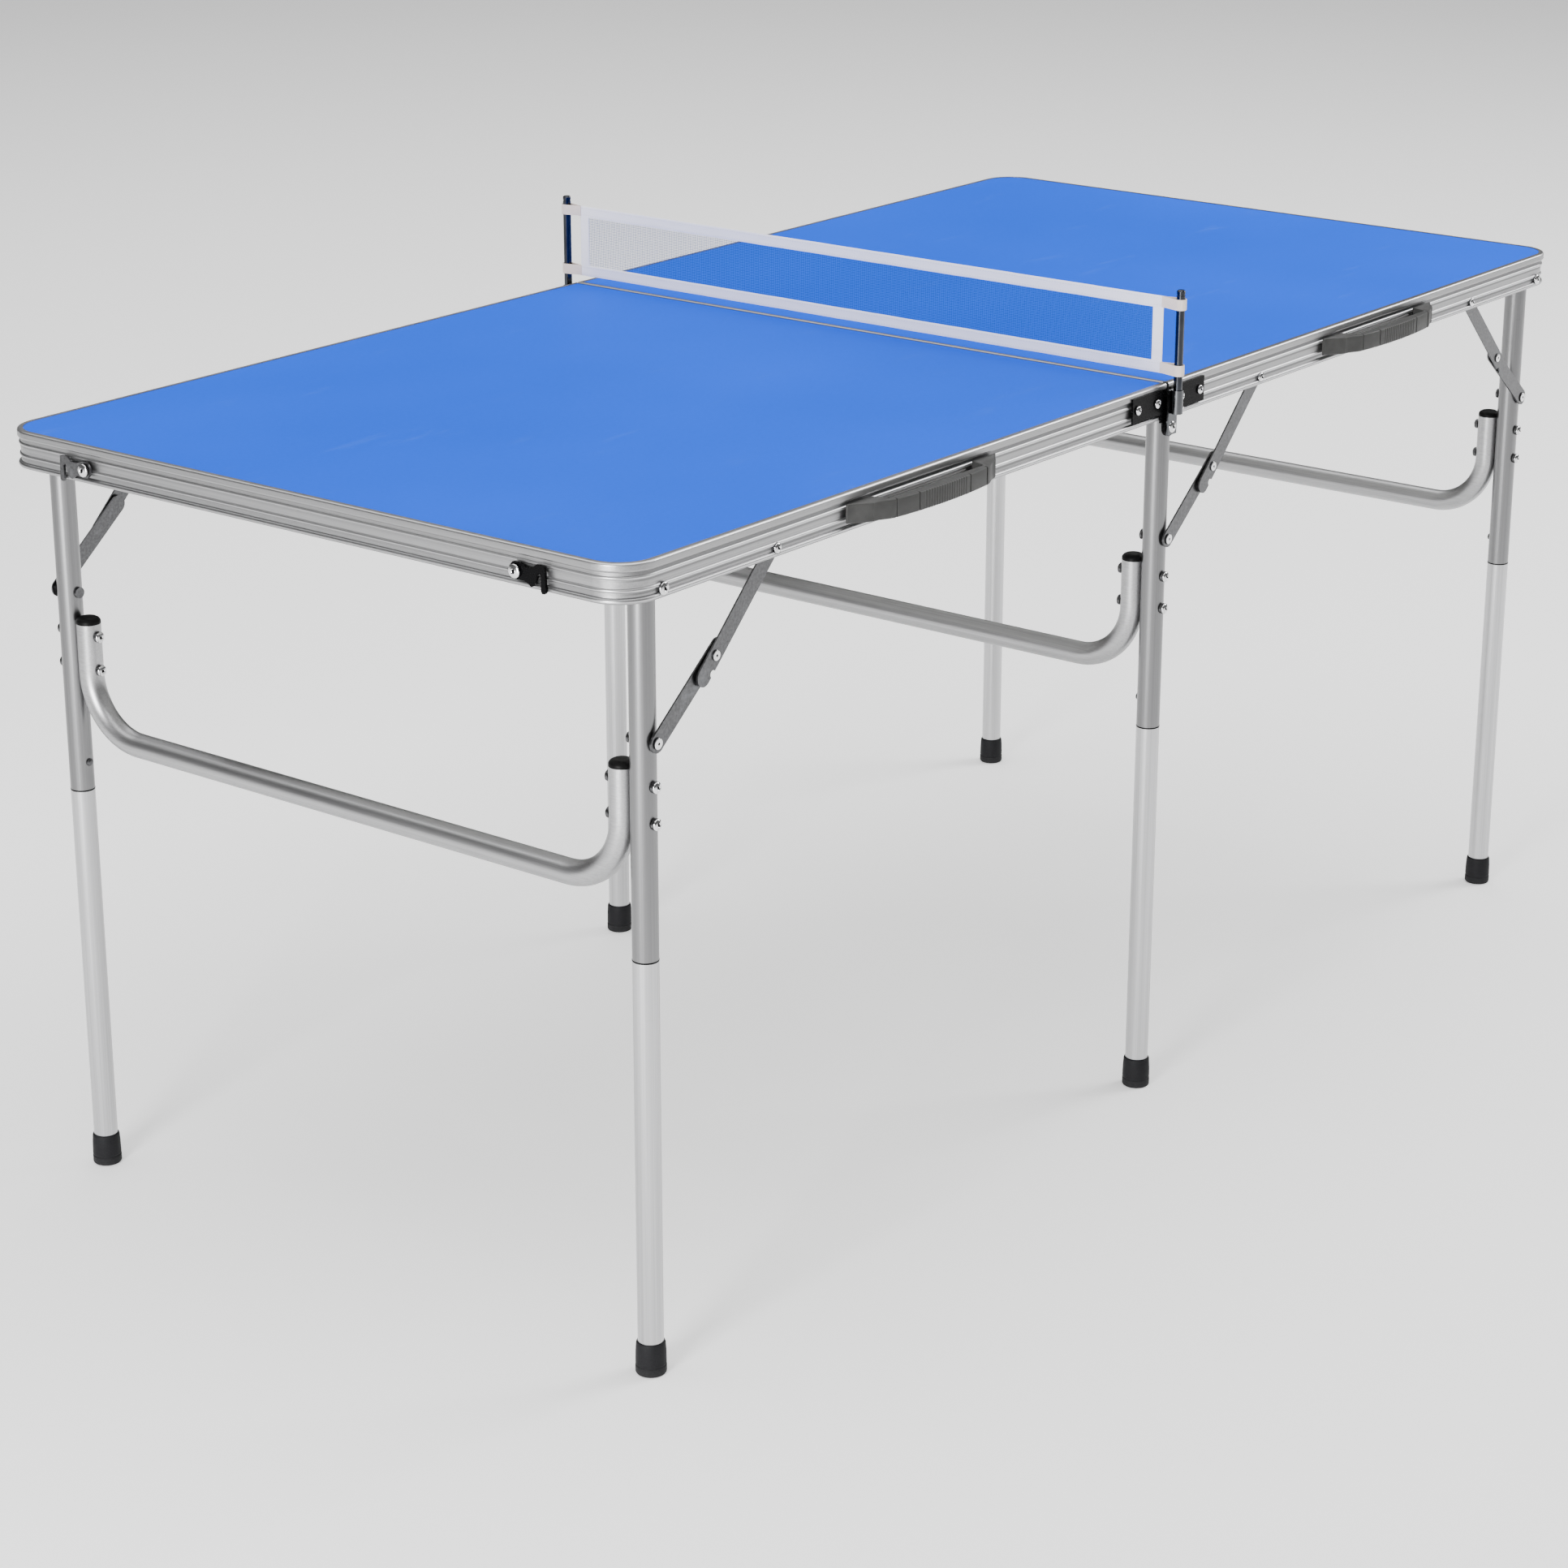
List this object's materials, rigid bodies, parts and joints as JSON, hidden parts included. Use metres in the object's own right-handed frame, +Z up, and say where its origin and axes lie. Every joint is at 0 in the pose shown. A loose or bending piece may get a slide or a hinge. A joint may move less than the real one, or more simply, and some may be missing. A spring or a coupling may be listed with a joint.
{
  "type": "folding ping pong table",
  "caption": "Folding table for table tennis: blue top in two halves hinged at the middle, folding leg sets with plug-in lower legs, lift-out net.",
  "frame": {"origin": "on the floor under the middle of the table, between the feet", "axes": "+X along the table from the near half to the far half, -Y the side with the carrying handles, +Z up"},
  "size_m": [1.534, 0.7541, 0.798],
  "materials": {
    "black_plastic": "matt",
    "black_rubber": "matt",
    "black_steel": "black, satin",
    "blue_top": "painted board, satin",
    "chrome_rod": "polished",
    "grey_plastic": "fine texture",
    "leg_tube": "satin",
    "net_binding": "woven tape",
    "net_cord": "open knitted mesh",
    "rail_aluminium": "anodised, brushed along its length",
    "zinc_steel": "zinc plated"
  },
  "bodies": {
    "far_half": {"far_top_board": "blue_top", "far_side_frame": "rail_aluminium", "far_centre_rail": "rail_aluminium", "far_hinge_leaves": "black_steel", "hinge_pins_and_rivets": "zinc_steel", "centre_leg_pivots": "zinc_steel", "far_leg_pivots": "zinc_steel", "far_handle_grip": "grey_plastic", "far_handle_blocks": "grey_plastic", "post_brackets": "chrome_rod", "latch_studs": "zinc_steel"},
    "near_half": {"near_top_board": "blue_top", "near_side_frame": "rail_aluminium", "near_centre_rail": "rail_aluminium", "near_hinge_leaves": "black_steel", "near_leg_pivots": "zinc_steel", "near_handle_grip": "grey_plastic", "near_handle_blocks": "grey_plastic", "near_frame_rivets": "zinc_steel"},
    "near_legs": {"near_upper_legs": "leg_tube", "near_cross_tube": "leg_tube", "near_tube_plugs": "black_plastic", "near_leg_bolts": "zinc_steel"},
    "near_brace_uppers": {"near_brace_upper_links": "zinc_steel"},
    "near_brace_lowers": {"near_brace_lower_links": "zinc_steel"},
    "near_right_lower": {"near_right_lower_leg": "leg_tube", "near_right_foot": "black_rubber"},
    "near_right_snap_button": {"near_right_button": "zinc_steel"},
    "near_left_lower": {"near_left_lower_leg": "leg_tube", "near_left_foot": "black_rubber"},
    "near_left_snap_button": {"near_left_button": "zinc_steel"},
    "centre_legs": {"centre_upper_legs": "leg_tube", "centre_cross_tube": "leg_tube", "centre_tube_plugs": "black_plastic", "centre_leg_bolts": "zinc_steel"},
    "centre_brace_uppers": {"centre_brace_upper_links": "zinc_steel"},
    "centre_brace_lowers": {"centre_brace_lower_links": "zinc_steel"},
    "centre_right_lower": {"centre_right_lower_leg": "leg_tube", "centre_right_foot": "black_rubber"},
    "centre_right_snap_button": {"centre_right_button": "zinc_steel"},
    "centre_left_lower": {"centre_left_lower_leg": "leg_tube", "centre_left_foot": "black_rubber"},
    "centre_left_snap_button": {"centre_left_button": "zinc_steel"},
    "far_legs": {"far_upper_legs": "leg_tube", "far_cross_tube": "leg_tube", "far_tube_plugs": "black_plastic", "far_leg_bolts": "zinc_steel"},
    "far_brace_uppers": {"far_brace_upper_links": "zinc_steel"},
    "far_brace_lowers": {"far_brace_lower_links": "zinc_steel"},
    "far_right_lower": {"far_right_lower_leg": "leg_tube", "far_right_foot": "black_rubber"},
    "far_right_snap_button": {"far_right_button": "zinc_steel"},
    "far_left_lower": {"far_left_lower_leg": "leg_tube", "far_left_foot": "black_rubber"},
    "far_left_snap_button": {"far_left_button": "zinc_steel"},
    "right_latch": {"right_latch_hook": "black_steel"},
    "left_latch": {"left_latch_hook": "zinc_steel"},
    "net_set": {"net_mesh": "net_cord", "net_tape": "net_binding", "net_posts": "chrome_rod"}
  },
  "joints": [
    {"name": "centre_fold", "type": "hinge", "parent": "far_half", "child": "near_half", "pos_m": [0, 0, 0.671], "axis": [0, 1, 0], "range_deg": [-90, 0]},
    {"name": "near_legs_fold", "type": "hinge", "parent": "near_half", "child": "near_legs", "pos_m": [-0.716, 0, 0.685], "axis": [0, 1, 0], "range_deg": [-90, 0]},
    {"name": "near_brace_upper_fold", "type": "hinge", "parent": "near_half", "child": "near_brace_uppers", "pos_m": [-0.574, 0, 0.685], "axis": [0, 1, 0], "range_deg": [0, 44.8]},
    {"name": "near_brace_lower_fold", "type": "hinge", "parent": "near_legs", "child": "near_brace_lowers", "pos_m": [-0.716, 0, 0.557], "axis": [0, 1, 0], "range_deg": [-51.1, 0]},
    {"name": "near_right_lower_pull_off", "type": "slide", "parent": "near_legs", "child": "near_right_lower", "axis": [0, 0, -1], "range_m": [0, 0.06]},
    {"name": "near_right_button_press", "type": "slide", "parent": "near_legs", "child": "near_right_snap_button", "axis": [0, -1, 0], "range_m": [0, 0.003], "stiffness_N_per_m": 300},
    {"name": "near_left_lower_pull_off", "type": "slide", "parent": "near_legs", "child": "near_left_lower", "axis": [0, 0, -1], "range_m": [0, 0.06]},
    {"name": "near_left_button_press", "type": "slide", "parent": "near_legs", "child": "near_left_snap_button", "axis": [0, 1, 0], "range_m": [0, 0.003], "stiffness_N_per_m": 300},
    {"name": "centre_legs_fold", "type": "hinge", "parent": "far_half", "child": "centre_legs", "pos_m": [0.024, 0, 0.685], "axis": [0, 1, 0], "range_deg": [-90, 0]},
    {"name": "centre_brace_upper_fold", "type": "hinge", "parent": "far_half", "child": "centre_brace_uppers", "pos_m": [0.166, 0, 0.685], "axis": [0, 1, 0], "range_deg": [0, 44.8]},
    {"name": "centre_brace_lower_fold", "type": "hinge", "parent": "centre_legs", "child": "centre_brace_lowers", "pos_m": [0.024, 0, 0.557], "axis": [0, 1, 0], "range_deg": [-51.1, 0]},
    {"name": "centre_right_lower_pull_off", "type": "slide", "parent": "centre_legs", "child": "centre_right_lower", "axis": [0, 0, -1], "range_m": [0, 0.06]},
    {"name": "centre_right_button_press", "type": "slide", "parent": "centre_legs", "child": "centre_right_snap_button", "axis": [0, -1, 0], "range_m": [0, 0.003], "stiffness_N_per_m": 300},
    {"name": "centre_left_lower_pull_off", "type": "slide", "parent": "centre_legs", "child": "centre_left_lower", "axis": [0, 0, -1], "range_m": [0, 0.06]},
    {"name": "centre_left_button_press", "type": "slide", "parent": "centre_legs", "child": "centre_left_snap_button", "axis": [0, 1, 0], "range_m": [0, 0.003], "stiffness_N_per_m": 300},
    {"name": "far_legs_fold", "type": "hinge", "parent": "far_half", "child": "far_legs", "pos_m": [0.724, 0, 0.685], "axis": [0, 1, 0], "range_deg": [0, 90]},
    {"name": "far_brace_upper_fold", "type": "hinge", "parent": "far_half", "child": "far_brace_uppers", "pos_m": [0.582, 0, 0.685], "axis": [0, 1, 0], "range_deg": [-44.8, 0]},
    {"name": "far_brace_lower_fold", "type": "hinge", "parent": "far_legs", "child": "far_brace_lowers", "pos_m": [0.724, 0, 0.557], "axis": [0, 1, 0], "range_deg": [0, 51.1]},
    {"name": "far_right_lower_pull_off", "type": "slide", "parent": "far_legs", "child": "far_right_lower", "axis": [0, 0, 1], "range_m": [-0.06, 0]},
    {"name": "far_right_button_press", "type": "slide", "parent": "far_legs", "child": "far_right_snap_button", "axis": [0, -1, 0], "range_m": [0, 0.003], "stiffness_N_per_m": 300},
    {"name": "far_left_lower_pull_off", "type": "slide", "parent": "far_legs", "child": "far_left_lower", "axis": [0, 0, 1], "range_m": [-0.06, 0]},
    {"name": "far_left_button_press", "type": "slide", "parent": "far_legs", "child": "far_left_snap_button", "axis": [0, 1, 0], "range_m": [0, 0.003], "stiffness_N_per_m": 300},
    {"name": "right_latch_turn", "type": "hinge", "parent": "near_half", "child": "right_latch", "pos_m": [-0.7645, -0.246, 0.691], "axis": [-1, 0, 0], "range_deg": [0, 70]},
    {"name": "left_latch_turn", "type": "hinge", "parent": "near_half", "child": "left_latch", "pos_m": [-0.7645, 0.246, 0.691], "axis": [1, 0, 0], "range_deg": [0, 70]},
    {"name": "net_lift", "type": "slide", "parent": "far_half", "child": "net_set", "axis": [0, 0, 1], "range_m": [0, 0.06]}
  ],
  "couplings": [
    {"joint": "near_brace_upper_fold", "follows": "near_legs_fold", "ratio": -0.49569},
    {"joint": "near_brace_lower_fold", "follows": "near_legs_fold", "ratio": 0.56618},
    {"joint": "centre_brace_upper_fold", "follows": "centre_legs_fold", "ratio": -0.49569},
    {"joint": "centre_brace_lower_fold", "follows": "centre_legs_fold", "ratio": 0.56618},
    {"joint": "far_brace_upper_fold", "follows": "far_legs_fold", "ratio": -0.49569},
    {"joint": "far_brace_lower_fold", "follows": "far_legs_fold", "ratio": 0.56618}
  ]
}
